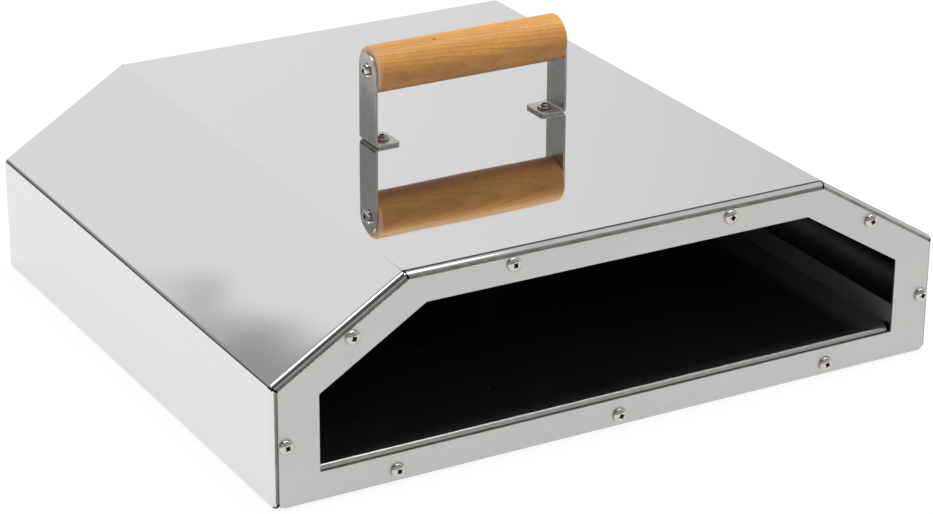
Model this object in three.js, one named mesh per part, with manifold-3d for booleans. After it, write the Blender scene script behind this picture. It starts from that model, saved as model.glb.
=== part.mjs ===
// Barbecue pizza oven: a bent stainless steel box with an open front and a wooden carrying handle.
// Millimetres. x runs across the front, y from the front (-) to the back (+), z up from the surface.

import * as THREE from 'three';
import { mergeVertices } from 'three/addons/utils/BufferGeometryUtils.js';
import Module from 'manifold-3d';

const wasm = await Module();
wasm.setup();

// Body: a cover bent round the roof, its sloping edges and the sides, on a flat base frame
const body_width = 400;
const body_depth = 350;
const body_height = 113;
const side_height = 67;
const slope_run = 75;
const sheet = 1;
const bend_radius = 3.5;
const least_bend_radius = 0.3;
const end_roll_depth = 4.5;
const end_roll_drop = 2.5;
const slit_tip_width = 0.2;
const slit_root_width = 3.4;
const slit_depth_share = 0.9;

// Heat opening in the base frame, under the floor tray
const vent_side_rim = 42;
const vent_end_rim = 40;
const vent_corner_radius = 2;

// Rim screws, the same nine at the front and at the back
const rim_inset = 7.2;
const flange_edge = 6.8;
const bottom_screw_share = 0.655;
const side_screw_share = 0.52;
const slope_screw_share = 0.53;
const roof_screw_share = 0.52;

// Front frame plate and plain back panel, screwed to the folded flanges
const plate_thickness = 1.2;
const plate_margin = 3.2;
const plate_floor_margin = 1.3;
const plate_bottom_radius = 3.5;
const plate_corner_radius = 1.5;
const side_band = 25.7;
const slope_band = 20.2;
const roof_band = 17.2;
const floor_band = 16.5;
const opening_corner_radius = 1;

// Floor tray: raised floor with a rolled lip at both ends and a low wall at both sides
const tray_sheet = 1;
const tray_rise = 2.5;
const tray_side_gap = 0.6;
const tray_lip_radius = 3;
const tray_wall_height = 13;
const tray_wall_radius = 1.8;
const tray_relief = 1.6;
const tray_foot_gap = 0.4;

// Machine screws with a pan head and a cross recess, and their nuts
const shank_radius = 2;
const screw_length = 9;
const point_length = 0.6;
const head_radius = 4;
const head_rim = 0.7;
const head_height = 2.6;
const recess_reach = 2.1;
const recess_width = 1;
const recess_depth = 1.5;
const nut_width = 7;
const nut_height = 3.2;
const washer_radius = 4.5;
const washer_thickness = 0.8;
const thread_play = 0.15;
const hole_play = 0.25;

// Handle: two strap brackets that hold a round wooden grip over the roof, a little in front of its middle
const handle_span = 120;
const handle_forward = 10;
const strap_width = 19;
const strap_thickness = 1.5;
const strap_bend_radius = 1;
const foot_length = 15.5;
const foot_corner_radius = 2.5;
const foot_screw_reach = 8.8;
const grip_height = 42.4;
const grip_radius = 13;
const grip_end_radius = 1.4;
const grip_screw_length = 18;
const pilot_extra = 2;

// Facet counts and the overrun of every cut
const bend_steps = 4;
const hole_steps = 12;
const round_steps = 24;
const dome_steps = 4;
const screw_sides = 12;
const nut_sides = 6;
const overrun = 5;

// Derived places
const half_width = body_width / 2;
const half_depth = body_depth / 2;
const slope_rise = body_height - side_height;
const slope_length = Math.hypot(slope_run, slope_rise);
const roof_half = half_width - slope_run;
const flange_width = rim_inset + flange_edge;
const slit_depth = end_roll_depth * slit_depth_share;
const hole_radius = shank_radius + hole_play;
const floor_top = floor_band + tray_rise;
const tray_half = half_width - side_band + tray_side_gap;
const strap_inner = handle_span / 2 - strap_thickness;
const grip_axis = body_height + grip_height;
const foot_screw_x = handle_span / 2 - foot_screw_reach;

// Finishes
const polished_steel = { color: 0xd4d5d4, roughness: 0.12, metalness: 1 };
const satin_steel = { color: 0xbebebb, roughness: 0.35, metalness: 1 };
const dark_steel = { color: 0x3a3b39, roughness: 0.3, metalness: 0.9 };
const strap_steel = { color: 0x7d7b76, roughness: 0.38, metalness: 1 };
const screw_nickel = { color: 0xc4c1ba, roughness: 0.18, metalness: 1 };
const zinc = { color: 0xa9a9a4, roughness: 0.4, metalness: 1 };
const beech = { color: 0xd99e5c, roughness: 0.55, metalness: 0 };

const oven = new THREE.Group();

// Add one named piece to a group
function addPiece(parent, name, geometry, finish) {
  const mesh = new THREE.Mesh(geometry, new THREE.MeshStandardMaterial(finish));
  mesh.name = name;
  parent.add(mesh);
  return mesh;
}

// A closed solid for cutting and joining, from a three.js geometry
function toSolid(geometry) {
  const bare = geometry.clone();
  bare.deleteAttribute('normal');
  bare.deleteAttribute('uv');
  const merged = mergeVertices(bare);
  const vertProperties = new Float32Array(merged.getAttribute('position').array);
  const triVerts = new Uint32Array(merged.getIndex().array);
  return new wasm.Manifold(new wasm.Mesh({ numProp: 3, vertProperties, triVerts }));
}

// A three.js geometry from a solid
function toGeometry(solid) {
  const mesh = solid.getMesh();
  const geometry = new THREE.BufferGeometry();
  geometry.setAttribute('position', new THREE.BufferAttribute(mesh.vertProperties, mesh.numProp));
  geometry.setIndex(new THREE.BufferAttribute(mesh.triVerts, 1));
  const flat = geometry.toNonIndexed();
  flat.computeVertexNormals();
  return flat;
}

// Points of a closed outline whose corners are rounded, each by its own radius
function roundCorners(corners, radii) {
  const points = [];
  corners.forEach((corner, index) => {
    const radius = radii[index];
    const steps = radius > 0 ? bend_steps : 0;
    const before = corners[(index + corners.length - 1) % corners.length];
    const after = corners[(index + 1) % corners.length];
    const back = before.clone().sub(corner).normalize();
    const ahead = after.clone().sub(corner).normalize();
    const half_angle = Math.acos(THREE.MathUtils.clamp(back.dot(ahead), -1, 1)) / 2;
    const bisector = back.clone().add(ahead).normalize();
    const centre = corner.clone().addScaledVector(bisector, radius / Math.sin(half_angle));
    const start = corner.clone().addScaledVector(back, radius / Math.tan(half_angle)).sub(centre);
    const turn = Math.sign(back.cross(ahead)) * (Math.PI - 2 * half_angle);
    for (let step = 0; step <= steps; step += 1) {
      const swing = -turn * step / bend_steps;
      points.push(start.clone().rotateAround(new THREE.Vector2(), swing).add(centre));
    }
  });
  return points;
}

// Points of a circle
function circle(x, y, radius, sides = hole_steps) {
  const points = [];
  for (let side = 0; side < sides; side += 1) {
    const angle = 2 * Math.PI * (side + 0.5) / sides;
    points.push(new THREE.Vector2(x + radius * Math.cos(angle), y + radius * Math.sin(angle)));
  }
  return points;
}

// Extrude an outline from low to high along one axis. It is drawn in x and z for a prism along y,
// in y and z for one along x, and in x and y for one along z.
function prism(points, axis, low, high, holes = []) {
  const shape = new THREE.Shape(points);
  holes.forEach((hole) => shape.holes.push(new THREE.Path(hole)));
  const geometry = new THREE.ExtrudeGeometry(shape, { depth: high - low, bevelEnabled: false });
  const along_x = new THREE.Vector3(1, 0, 0);
  const along_y = new THREE.Vector3(0, 1, 0);
  const along_z = new THREE.Vector3(0, 0, 1);
  const turn = new THREE.Matrix4();
  if (axis === 'x') {
    turn.makeBasis(along_y, along_z, along_x).setPosition(low, 0, 0);
  }
  if (axis === 'y') {
    turn.makeBasis(along_x, along_z, along_y.clone().negate()).setPosition(0, high, 0);
  }
  if (axis === 'z') {
    turn.setPosition(0, 0, low);
  }
  return geometry.applyMatrix4(turn);
}

// The outline of a bent sheet of even thickness, from the line along its middle
function bentStrip(line, thickness, inside_radius) {
  const left = [];
  const right = [];
  line.forEach((point, index) => {
    const from = Math.max(index - 1, 0);
    const to = Math.min(index + 1, line.length - 1);
    const back = line[Math.max(index, 1)].clone().sub(line[from]).normalize();
    const ahead = line[to].clone().sub(line[Math.min(index, to - 1)]).normalize();
    const turn = Math.atan2(back.cross(ahead), back.dot(ahead));
    const middle_radius = inside_radius + thickness / 2;
    const run = middle_radius * Math.tan(Math.abs(turn) / 2);
    const side = new THREE.Vector2(-back.y, back.x).multiplyScalar(Math.sign(turn) || 1);
    const centre = point.clone().addScaledVector(back, -run).addScaledVector(side, middle_radius);
    const steps = Math.abs(turn) > 0 ? bend_steps : 0;
    for (let step = 0; step <= steps; step += 1) {
      const swing = steps > 0 ? turn * step / steps : 0;
      const out = side.clone().negate().rotateAround(new THREE.Vector2(), swing);
      const outer = centre.clone().addScaledVector(out, middle_radius + thickness / 2);
      const inner = centre.clone().addScaledVector(out, middle_radius - thickness / 2);
      left.push(turn < 0 ? outer : inner);
      right.push(turn < 0 ? inner : outer);
    }
  });
  return right.concat(left.reverse());
}

// Corners of the body's cross-section, drawn in by its own amount at each kind of wall.
// They run anticlockwise from the bottom right.
function bodyCorners(side, slope, roof, floor) {
  const lower_x = half_width - side;
  const lower_z = side_height + (slope_rise * side - slope_length * slope) / slope_run;
  const upper_z = body_height - roof;
  const upper_x = half_width - (slope_length * slope + slope_run * (slope_rise - roof)) / slope_rise;
  const right = [[lower_x, floor], [lower_x, lower_z], [upper_x, upper_z]];
  const left = right.map(([x, z]) => [-x, z]).reverse();
  return right.concat(left).map(([x, z]) => new THREE.Vector2(x, z));
}

// The body's cross-section drawn in evenly, with concentric bends
function bodyOutline(inset) {
  const corners = bodyCorners(inset, inset, inset, inset);
  return roundCorners(corners, corners.map(() => Math.max(bend_radius - inset, least_bend_radius)));
}

// A block with the body's cross-section whose end edges are rolled, by a depth along y and a drop
// towards its middle. Every outline has the same number of points and is joined to the next by them.
function rolledBlock(inset, end, depth, drop) {
  const front = [];
  for (let step = 0; step <= bend_steps; step += 1) {
    const angle = (Math.PI / 2) * step / bend_steps;
    const points = bodyOutline(inset + drop * (1 - Math.sin(angle)));
    front.push({ points, y: depth * (1 - Math.cos(angle)) - end });
  }
  const back = front.map(({ points, y }) => ({ points, y: -y })).reverse();
  const sections = front.concat(back);
  const count = front[0].points.length;
  const index = [];
  for (let row = count; row < count * sections.length; row += count) {
    for (let column = 0; column < count; column += 1) {
      const next = (column + 1) % count;
      index.push(row - count + column, row + next, row - count + next);
      index.push(row - count + column, row + column, row + next);
    }
  }
  const last = count * (sections.length - 1);
  THREE.ShapeUtils.triangulateShape(front[0].points, []).forEach(([a, b, c]) => {
    index.push(a, b, c, last + a, last + c, last + b);
  });
  const places = sections.flatMap(({ points, y }) => points.flatMap((point) => [point.x, y, point.y]));
  const geometry = new THREE.BufferGeometry();
  geometry.setAttribute('position', new THREE.BufferAttribute(new Float32Array(places), 3));
  geometry.setIndex(index);
  return toSolid(geometry);
}

// Places of the nine screws round each end
function rimPlaces() {
  const corners = bodyCorners(rim_inset, rim_inset, rim_inset, rim_inset);
  const [low, middle, high] = corners;
  const slope_place = middle.clone().lerp(high, slope_screw_share);
  const right = {
    bottom_right: new THREE.Vector2(half_width * bottom_screw_share, low.y),
    side_right: new THREE.Vector2(low.x, side_height * side_screw_share),
    slope_right: slope_place,
    roof_right: new THREE.Vector2(roof_half * roof_screw_share, high.y),
  };
  const places = { bottom_middle: new THREE.Vector2(0, low.y) };
  Object.entries(right).forEach(([name, place]) => {
    places[name] = place;
    places[name.replace('right', 'left')] = new THREE.Vector2(-place.x, place.y);
  });
  return places;
}

const rim_places = rimPlaces();
const rim_holes = Object.values(rim_places).map((place) => circle(place.x, place.y, hole_radius));

// Whole body: bent sheet with folded end flanges, holes, heat opening and mitre slits at every bend.
// A slit starts narrow at the bend and widens towards the free edge of the flange.
function bentBody() {
  const block = rolledBlock(0, half_depth, end_roll_depth, end_roll_drop);
  const hollow = rolledBlock(sheet, half_depth - sheet, end_roll_depth - sheet, end_roll_drop - sheet);
  let shell = block.subtract(hollow);
  const mouth = prism(bodyOutline(flange_width), 'y', -half_depth - overrun, half_depth + overrun);
  shell = shell.subtract(toSolid(mouth));

  const outer_corners = bodyCorners(0, 0, 0, 0);
  const inner_corners = bodyCorners(flange_width, flange_width, flange_width, flange_width);
  outer_corners.forEach((corner, index) => {
    const along = inner_corners[index].clone().sub(corner).normalize();
    const across = new THREE.Vector2(-along.y, along.x);
    const tip = corner.clone().addScaledVector(along, -overrun);
    const root = inner_corners[index].clone().addScaledVector(along, overrun);
    const slit = [
      tip.clone().addScaledVector(across, -slit_tip_width / 2),
      root.clone().addScaledVector(across, -slit_root_width / 2),
      root.clone().addScaledVector(across, slit_root_width / 2),
      tip.clone().addScaledVector(across, slit_tip_width / 2),
    ];
    shell = shell.subtract(toSolid(prism(slit, 'y', -half_depth - overrun, -half_depth + slit_depth)));
    shell = shell.subtract(toSolid(prism(slit, 'y', half_depth - slit_depth, half_depth + overrun)));
  });

  rim_holes.forEach((hole) => {
    shell = shell.subtract(toSolid(prism(hole, 'y', -half_depth - overrun, half_depth + overrun)));
  });

  [-foot_screw_x, foot_screw_x].forEach((x) => {
    const hole = circle(x, -handle_forward, hole_radius);
    shell = shell.subtract(toSolid(prism(hole, 'z', body_height - sheet - overrun, body_height + overrun)));
  });

  const vent_x = half_width - vent_side_rim;
  const vent_y = half_depth - vent_end_rim;
  const vent_corners = [[-vent_x, -vent_y], [vent_x, -vent_y], [vent_x, vent_y], [-vent_x, vent_y]];
  const vent_outline = roundCorners(
    vent_corners.map(([x, y]) => new THREE.Vector2(x, y)),
    vent_corners.map(() => vent_corner_radius),
  );
  return shell.subtract(toSolid(prism(vent_outline, 'z', -overrun, sheet + overrun)));
}

// Space that the base frame takes: the flat bottom up to the corner bends, and at both ends
// its flange between the mitre slits
function baseZone() {
  const slit_end = half_depth - slit_depth;
  const flat_half = half_width - bend_radius;
  const flat = [
    [-flat_half, -overrun],
    [flat_half, -overrun],
    [flat_half, flange_width],
    [-flat_half, flange_width],
  ];
  const low_half = half_width + overrun;
  const high_half = half_width - flange_width - overrun;
  const high = flange_width + overrun;
  const mitred = [[-low_half, -overrun], [low_half, -overrun], [high_half, high], [-high_half, high]];
  const [flat_points, mitred_points] = [flat, mitred].map((corners) => (
    corners.map(([x, z]) => new THREE.Vector2(x, z))));
  return toSolid(prism(flat_points, 'y', -slit_end, slit_end))
    .add(toSolid(prism(mitred_points, 'y', -half_depth - overrun, -slit_end)))
    .add(toSolid(prism(mitred_points, 'y', slit_end, half_depth + overrun)));
}

const body = bentBody();
const base_zone = baseZone();
addPiece(oven, 'outer_shell', toGeometry(body.subtract(base_zone)), polished_steel);
addPiece(oven, 'base_frame', toGeometry(body.intersect(base_zone)), satin_steel);

// Outline shared by the front frame and the back panel
const plate_corners = bodyCorners(plate_margin, plate_margin, plate_margin, plate_floor_margin);
const last_corner = plate_corners.length - 1;
const plate_radii = plate_corners.map((corner, index) => (
  index === 0 || index === last_corner ? plate_bottom_radius : plate_corner_radius));
const plate_outline = roundCorners(plate_corners, plate_radii);

// Front frame plate with the oven's mouth
const mouth_corners = bodyCorners(side_band, slope_band, roof_band, floor_band);
const mouth_outline = roundCorners(mouth_corners, mouth_corners.map(() => opening_corner_radius));
const front_frame = prism(
  plate_outline,
  'y',
  -half_depth - plate_thickness,
  -half_depth,
  [mouth_outline, ...rim_holes],
);
addPiece(oven, 'front_frame', front_frame, satin_steel);

// Plain back panel
const back_panel = prism(plate_outline, 'y', half_depth, half_depth + plate_thickness, rim_holes);
addPiece(oven, 'back_panel', back_panel, satin_steel);

// Floor tray: its rolled ends go down behind the end flanges, where the bottom screws clamp them
function floorTray() {
  const apron = half_depth - sheet - tray_sheet / 2;
  const floor_middle = floor_top - tray_sheet / 2;
  const apron_foot = end_roll_drop + tray_foot_gap;
  const ends_line = [
    [-apron, apron_foot],
    [-apron, floor_middle],
    [apron, floor_middle],
    [apron, apron_foot],
  ];
  const ends_strip = bentStrip(
    ends_line.map(([y, z]) => new THREE.Vector2(y, z)),
    tray_sheet,
    tray_lip_radius - tray_sheet,
  );
  const lip_half = tray_half - tray_relief;
  let tray = toSolid(prism(ends_strip, 'x', -lip_half, lip_half));

  const wall = tray_half + tray_sheet / 2;
  const wall_top = floor_top + tray_wall_height;
  const walls_line = [[-wall, wall_top], [-wall, floor_middle], [wall, floor_middle], [wall, wall_top]];
  const walls_strip = bentStrip(
    walls_line.map(([x, z]) => new THREE.Vector2(x, z)),
    tray_sheet,
    tray_wall_radius,
  );
  const wall_end = half_depth - sheet - tray_lip_radius - tray_relief;
  tray = tray.add(toSolid(prism(walls_strip, 'y', -wall_end, wall_end)));

  ['bottom_left', 'bottom_middle', 'bottom_right'].forEach((name) => {
    const place = rim_places[name];
    const hole = circle(place.x, place.y, hole_radius);
    tray = tray.subtract(toSolid(prism(hole, 'y', -half_depth - overrun, half_depth + overrun)));
  });
  return tray;
}

addPiece(oven, 'floor_tray', toGeometry(floorTray()), dark_steel);

// Pan head screw that stands on its seat, head up along z, with a cross recess in a domed top
function panScrew(length) {
  const profile = [
    new THREE.Vector2(0, -length),
    new THREE.Vector2(shank_radius - point_length, -length),
    new THREE.Vector2(shank_radius, point_length - length),
    new THREE.Vector2(shank_radius, 0),
    new THREE.Vector2(head_radius, 0),
  ];
  for (let step = 0; step <= dome_steps; step += 1) {
    const angle = (Math.PI / 2) * step / dome_steps;
    const radius = step < dome_steps ? head_radius * Math.cos(angle) : 0;
    profile.push(new THREE.Vector2(radius, head_rim + (head_height - head_rim) * Math.sin(angle)));
  }
  const body = new THREE.LatheGeometry(profile, screw_sides);
  body.rotateX(Math.PI / 2);
  const arm = recess_width / 2;
  const cross = [
    [arm, arm], [arm, recess_reach], [-arm, recess_reach], [-arm, arm],
    [-recess_reach, arm], [-recess_reach, -arm], [-arm, -arm], [-arm, -recess_reach],
    [arm, -recess_reach], [arm, -arm], [recess_reach, -arm], [recess_reach, arm],
  ];
  const recess = prism(
    cross.map(([x, y]) => new THREE.Vector2(x, y)),
    'z',
    head_height - recess_depth,
    head_height + overrun,
  );
  return toGeometry(toSolid(body).subtract(toSolid(recess)));
}

// Hexagon nut that hangs below its seat at z = 0
function hexNut() {
  const corner_radius = nut_width / 2 / Math.cos(Math.PI / nut_sides);
  const bore = circle(0, 0, shank_radius + thread_play);
  return prism(circle(0, 0, corner_radius, nut_sides), 'z', -nut_height, 0, [bore]);
}

const rim_screw = panScrew(screw_length);
const nut = hexNut();

// Screws and nuts round one end of the body. Their group faces outwards along its own z.
// Every nut has one of its flats towards the rolled edge beside it.
function rimFasteners(end, facing) {
  const group = new THREE.Group();
  group.position.y = facing * half_depth;
  group.rotation.x = -facing * Math.PI / 2;
  Object.entries(rim_places).forEach(([name, place]) => {
    const grip_stack = name.startsWith('bottom') ? sheet + tray_sheet : sheet;
    const screw = addPiece(group, `${end}_screw_${name}`, rim_screw, screw_nickel);
    screw.position.set(place.x, -facing * place.y, plate_thickness);
    const rim_nut = addPiece(group, `${end}_nut_${name}`, nut, zinc);
    rim_nut.position.set(place.x, -facing * place.y, -grip_stack);
    rim_nut.rotation.z = name.startsWith('bottom') || name.startsWith('roof') ? Math.PI / nut_sides : 0;
  });
  return group;
}

oven.add(rimFasteners('front', -1));
oven.add(rimFasteners('back', 1));

// Handle bracket on the right: a strap bent inwards at its foot, with a round top.
// The left one is the same strap turned half round.
function handleBracket() {
  const middle_x = handle_span / 2 - strap_thickness / 2;
  const middle_z = body_height + strap_thickness / 2;
  const half_strap = strap_width / 2;
  const line = [
    new THREE.Vector2(handle_span / 2 - foot_length, middle_z),
    new THREE.Vector2(middle_x, middle_z),
    new THREE.Vector2(middle_x, grip_axis + half_strap),
  ];
  const bent = bentStrip(line, strap_thickness, strap_bend_radius);
  let strap = toSolid(prism(bent, 'y', -half_strap, half_strap));

  const low = body_height - overrun;
  const side_corners = [[-half_strap, low], [half_strap, low]].map(([y, z]) => new THREE.Vector2(y, z));
  const top_arc = [];
  for (let step = 0; step <= round_steps / 2; step += 1) {
    const angle = Math.PI * step / (round_steps / 2);
    top_arc.push(new THREE.Vector2(half_strap * Math.cos(angle), grip_axis + half_strap * Math.sin(angle)));
  }
  const side_view = prism(side_corners.concat(top_arc), 'x', 0, handle_span);
  strap = strap.intersect(toSolid(side_view));

  const tip = handle_span / 2 - foot_length;
  const far = handle_span / 2 + overrun;
  const plan_corners = [[tip, -half_strap], [far, -half_strap], [far, half_strap], [tip, half_strap]];
  const plan_radii = [foot_corner_radius, 0, 0, foot_corner_radius];
  const plan = roundCorners(plan_corners.map(([x, y]) => new THREE.Vector2(x, y)), plan_radii);
  strap = strap.intersect(toSolid(prism(plan, 'z', low, grip_axis + strap_width)));

  const foot_hole = prism(circle(foot_screw_x, 0, hole_radius), 'z', low, body_height + overrun);
  strap = strap.subtract(toSolid(foot_hole));
  const grip_hole = prism(circle(0, grip_axis, hole_radius), 'x', strap_inner - overrun, far);
  return toGeometry(strap.subtract(toSolid(grip_hole)));
}

// Round wooden grip between the brackets, with a pilot hole in each end
function handleGrip() {
  const pilot_depth = grip_screw_length - strap_thickness + pilot_extra;
  const pilot_radius = shank_radius + thread_play;
  const pilot_end = pilot_depth - strap_inner;
  const half = [[0, pilot_end], [pilot_radius, pilot_end], [pilot_radius, -strap_inner]];
  for (let step = 0; step <= bend_steps; step += 1) {
    const angle = (Math.PI / 2) * step / bend_steps;
    const radius = grip_radius - grip_end_radius * (1 - Math.sin(angle));
    half.push([radius, -strap_inner + grip_end_radius * (1 - Math.cos(angle))]);
  }
  const far_half = half.map(([radius, along]) => [radius, -along]).reverse();
  const profile = half.concat(far_half).map(([radius, along]) => new THREE.Vector2(radius, along));
  const grip = new THREE.LatheGeometry(profile, round_steps);
  grip.rotateZ(-Math.PI / 2);
  return grip;
}

const grip = addPiece(oven, 'handle_grip', handleGrip(), beech);
grip.position.set(0, -handle_forward, grip_axis);

const bracket = handleBracket();
const grip_screw = panScrew(grip_screw_length);
const washer = prism(
  circle(0, 0, washer_radius, round_steps),
  'z',
  -washer_thickness,
  0,
  [circle(0, 0, hole_radius)],
);

// Bracket and fasteners at one end of the handle. Their group is turned half round for the left end.
['right', 'left'].forEach((side) => {
  const end = new THREE.Group();
  end.position.y = -handle_forward;
  end.rotation.z = side === 'left' ? Math.PI : 0;
  addPiece(end, `handle_bracket_${side}`, bracket, strap_steel);
  const into_grip = addPiece(end, `grip_screw_${side}`, grip_screw, screw_nickel);
  into_grip.position.set(handle_span / 2, 0, grip_axis);
  into_grip.rotation.y = Math.PI / 2;
  const into_roof = addPiece(end, `foot_screw_${side}`, rim_screw, screw_nickel);
  into_roof.position.set(foot_screw_x, 0, body_height + strap_thickness);
  const roof_washer = addPiece(end, `foot_washer_${side}`, washer, zinc);
  roof_washer.position.set(foot_screw_x, 0, body_height - sheet);
  const roof_nut = addPiece(end, `foot_nut_${side}`, nut, zinc);
  roof_nut.position.set(foot_screw_x, 0, body_height - sheet - washer_thickness);
  oven.add(end);
});

export default oven;
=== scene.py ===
"""Looks of the barbecue pizza oven: a folded box of polished stainless steel with a beech handle."""

import math

import bmesh
import bpy
from mathutils import Matrix, Vector


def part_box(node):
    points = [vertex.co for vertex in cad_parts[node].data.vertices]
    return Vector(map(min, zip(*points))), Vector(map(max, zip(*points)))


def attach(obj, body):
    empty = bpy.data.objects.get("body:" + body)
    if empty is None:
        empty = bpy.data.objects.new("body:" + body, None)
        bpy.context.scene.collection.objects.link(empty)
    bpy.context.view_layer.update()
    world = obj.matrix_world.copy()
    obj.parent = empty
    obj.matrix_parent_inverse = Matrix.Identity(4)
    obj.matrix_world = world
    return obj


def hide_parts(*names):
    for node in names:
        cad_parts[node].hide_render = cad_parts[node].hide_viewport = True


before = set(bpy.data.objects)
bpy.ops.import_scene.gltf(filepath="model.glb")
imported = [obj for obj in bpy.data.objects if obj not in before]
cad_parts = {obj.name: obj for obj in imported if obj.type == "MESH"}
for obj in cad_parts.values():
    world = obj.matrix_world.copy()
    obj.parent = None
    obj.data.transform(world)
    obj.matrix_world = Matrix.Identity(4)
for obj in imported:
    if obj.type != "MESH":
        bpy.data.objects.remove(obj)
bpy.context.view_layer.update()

# Cover: one sheet of 1 mm stainless steel, bent along the sides, the sloping edges and the roof,
# with its ends folded inwards as flanges. It is mirror-polished outside, so it shows its
# surroundings. Inside it is coloured near black, as painted shade for the dark inside of the oven.
mm = 0.001
cover_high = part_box("outer_shell")[1]
half_width = cover_high.x
half_depth = cover_high.y
body_height = cover_high.z
side_height = 67 * mm
slope_run = 75 * mm
sheet = 1 * mm
bend_radius = 3.5 * mm
least_bend_radius = 0.3 * mm
roll_depth = 4.5 * mm
roll_drop = 2.5 * mm
flange_width = 14 * mm
rim_inset = 7.2 * mm
bottom_screw_share = 0.655
side_screw_share = 0.52
slope_screw_share = 0.53
roof_screw_share = 0.52
slit_tip_width = 0.2 * mm
slit_root_width = 3.4 * mm
slit_depth = 4.05 * mm
vent_side_rim = 42 * mm
vent_end_rim = 40 * mm
vent_corner_radius = 2 * mm
# Width of the band at each end that is painted with the joint shade
joint_shade_width = 0.16 * mm
hole_radius = 2.25 * mm
overrun = 5 * mm
slope_rise = body_height - side_height
slope_length = math.hypot(slope_run, slope_rise)
roof_half = half_width - slope_run
bend_steps = 10


def linear(hex_colour):
    """The linear colour that shaders take, from an sRGB hex value"""
    channels = [int(hex_colour[start:start + 2], 16) / 255 for start in (1, 3, 5)]
    return (*[c / 12.92 if c <= 0.04045 else ((c + 0.055) / 1.055) ** 2.4 for c in channels], 1.0)


def add_node(tree, kind, inputs=None, stops=(), **settings):
    """Add one node with its settings. An input is a value, a pair of a node and its output's name, or a
    list of such pairs. The stops of a colour ramp are pairs of a level and an sRGB hex value."""
    node = tree.nodes.new(kind)
    for name, value in settings.items():
        setattr(node, name, value)
    for name, value in (inputs or {}).items():
        for given in value if isinstance(value, list) else [value]:
            if isinstance(given, tuple) and isinstance(given[0], bpy.types.Node):
                tree.links.new(given[0].outputs[given[1]], node.inputs[name])
            else:
                node.inputs[name].default_value = given
    for index, (level, hex_colour) in enumerate(stops):
        node.color_ramp.elements[index].position = level
        node.color_ramp.elements[index].color = linear(hex_colour)
    return node


def new_material(look):
    """A material named after the function that gives its look. That takes the node tree and the place
    on the object, adds its nodes and returns its shader's output."""
    material = bpy.data.materials.new(look.__name__)
    material.use_nodes = True
    tree = material.node_tree
    tree.nodes.clear()
    place = (add_node(tree, "ShaderNodeTexCoord"), "Object")
    add_node(tree, "ShaderNodeOutputMaterial", {"Surface": look(tree, place)})
    return material


def mirror_polished_stainless(tree, place):
    """Rolled stainless sheet, mirror-polished. The eye sees a clear reflection, faint hairlines left
    by the polishing wheel, and slow waves that bend the reflection, most of all on the slopes."""
    wave = add_node(tree, "ShaderNodeTexNoise", {"Vector": place, "Scale": 9.0, "Detail": 1.0})
    hair_space = add_node(tree, "ShaderNodeMapping", {"Vector": place, "Scale": (2600.0, 45.0, 2600.0)})
    hair = add_node(
        tree, "ShaderNodeTexNoise", {"Vector": (hair_space, "Vector"), "Scale": 1.0, "Detail": 3.0})
    gloss = add_node(
        tree, "ShaderNodeMapRange",
        {"Value": (hair, "Fac"), "From Min": 0.3, "From Max": 0.7, "To Min": 0.02, "To Max": 0.04})
    part = add_node(tree, "ShaderNodeSeparateXYZ", {"Vector": place})
    aside = add_node(tree, "ShaderNodeMath", {0: (part, "X")}, operation="ABSOLUTE")
    waviness = add_node(
        tree, "ShaderNodeMapRange",
        {"Value": (aside, "Value"), "From Min": roof_half - 5 * mm, "From Max": roof_half + 20 * mm,
         "To Min": 0.2})
    swell = add_node(
        tree, "ShaderNodeBump",
        {"Height": (wave, "Fac"), "Strength": (waviness, "Result"), "Distance": 0.0012})
    scratch = add_node(
        tree, "ShaderNodeBump",
        {"Height": (hair, "Fac"), "Strength": 0.1, "Distance": 0.000002, "Normal": (swell, "Normal")})
    steel = add_node(
        tree, "ShaderNodeBsdfPrincipled",
        {"Base Color": linear("#DCDDDC"), "Metallic": 1.0, "Roughness": (gloss, "Result"),
         "Normal": (scratch, "Normal")})
    return steel, "BSDF"


def painted_shade_interior(tree, place):
    """Inside of the sheet, coloured near black as painted shade for the dark inside of the oven, with a
    soft sheen. Broad olive patches about a hand wide are painted reflections of brighter surroundings."""
    painted_reflection_patch = add_node(tree, "ShaderNodeTexNoise", {"Vector": place, "Scale": 11.0})
    # Painted reflection: the olive patches stand for brighter surroundings seen in the dark inside.
    tint = add_node(
        tree, "ShaderNodeValToRGB", {"Fac": (painted_reflection_patch, "Fac")}, stops=((0.45, "#121211"), (0.68, "#27261F")))
    steel = add_node(
        tree, "ShaderNodeBsdfPrincipled",
        {"Base Color": (tint, "Color"), "Metallic": 1.0, "Roughness": 0.22})
    return steel, "BSDF"


def painted_joint_shade(tree, place):
    """Dull, mottled grey on the steel beside the end plates: painted shade for the joint between the
    rolled ends and the plates"""
    shade_mottle = add_node(tree, "ShaderNodeTexNoise", {"Vector": place, "Scale": 120.0, "Detail": 3.0})
    tint = add_node(
        tree, "ShaderNodeValToRGB", {"Fac": (shade_mottle, "Fac")}, stops=((0.35, "#7C7A76"), (0.65, "#96938E")))
    steel = add_node(
        tree, "ShaderNodeBsdfPrincipled",
        {"Base Color": (tint, "Color"), "Metallic": 0.8, "Roughness": 0.42})
    return steel, "BSDF"


def section_corners(side, slope, roof, floor):
    """Corners of the body's cross-section, drawn in by its own amount at each kind of wall"""
    lower_x = half_width - side
    lower_z = side_height + (slope_rise * side - slope_length * slope) / slope_run
    upper_x = half_width - (slope_length * slope + slope_run * (slope_rise - roof)) / slope_rise
    right = [(lower_x, floor), (lower_x, lower_z), (upper_x, body_height - roof)]
    return [Vector(point) for point in right + [(-x, z) for x, z in reversed(right)]]


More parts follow.
